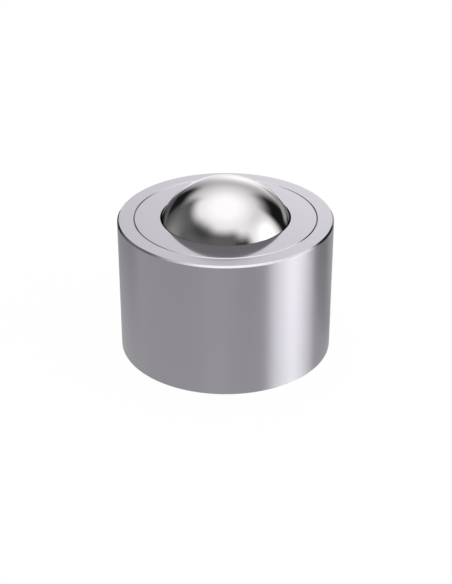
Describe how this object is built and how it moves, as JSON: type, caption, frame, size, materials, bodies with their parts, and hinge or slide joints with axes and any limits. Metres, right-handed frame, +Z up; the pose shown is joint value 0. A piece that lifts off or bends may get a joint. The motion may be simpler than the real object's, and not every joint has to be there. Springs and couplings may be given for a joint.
{
  "type": "ball transfer unit",
  "caption": "Ball transfer unit: a large polished ball rolls on a bed of small balls in a plain cylindrical steel housing, kept in by a flush cover ring.",
  "frame": {"origin": "centre of the flat base, on the axis of the housing", "axes": "+Z up along the housing's axis and out through the load ball; X and Y are alike on this round part"},
  "size_m": [0.045, 0.045, 0.0375],
  "materials": {
    "housing_steel": "fine turned and satin on the side, polished on the rim",
    "cover_steel": "polished flat",
    "load_ball_steel": "mirror polished",
    "support_ball_steel": "polished, lightly oiled",
    "retainer_steel": "ground washer",
    "wiper_felt": "dense pressed felt"
  },
  "bodies": {
    "housing": {"housing": "housing_steel", "retainer_ring": "retainer_steel", "wiper_ring": "wiper_felt", "cover_ring": "cover_steel"},
    "support_balls": {"support_balls_row_1": "support_ball_steel", "support_balls_row_2": "support_ball_steel", "support_balls_row_3": "support_ball_steel", "support_balls_row_4": "support_ball_steel", "support_balls_row_5": "support_ball_steel", "support_balls_row_6": "support_ball_steel", "support_balls_row_7": "support_ball_steel", "support_balls_row_8": "support_ball_steel"},
    "load_ball": {"load_ball": "load_ball_steel"}
  },
  "joints": [
    {"name": "bed_turn", "type": "hinge", "parent": "housing", "child": "support_balls", "pos_m": [0, 0, 0.0225], "axis": [0, 0, 1], "continuous": true},
    {"name": "load_ball_roll", "type": "hinge", "parent": "support_balls", "child": "load_ball", "pos_m": [0, 0, 0.0225], "axis": [1, 0, 0], "continuous": true}
  ]
}
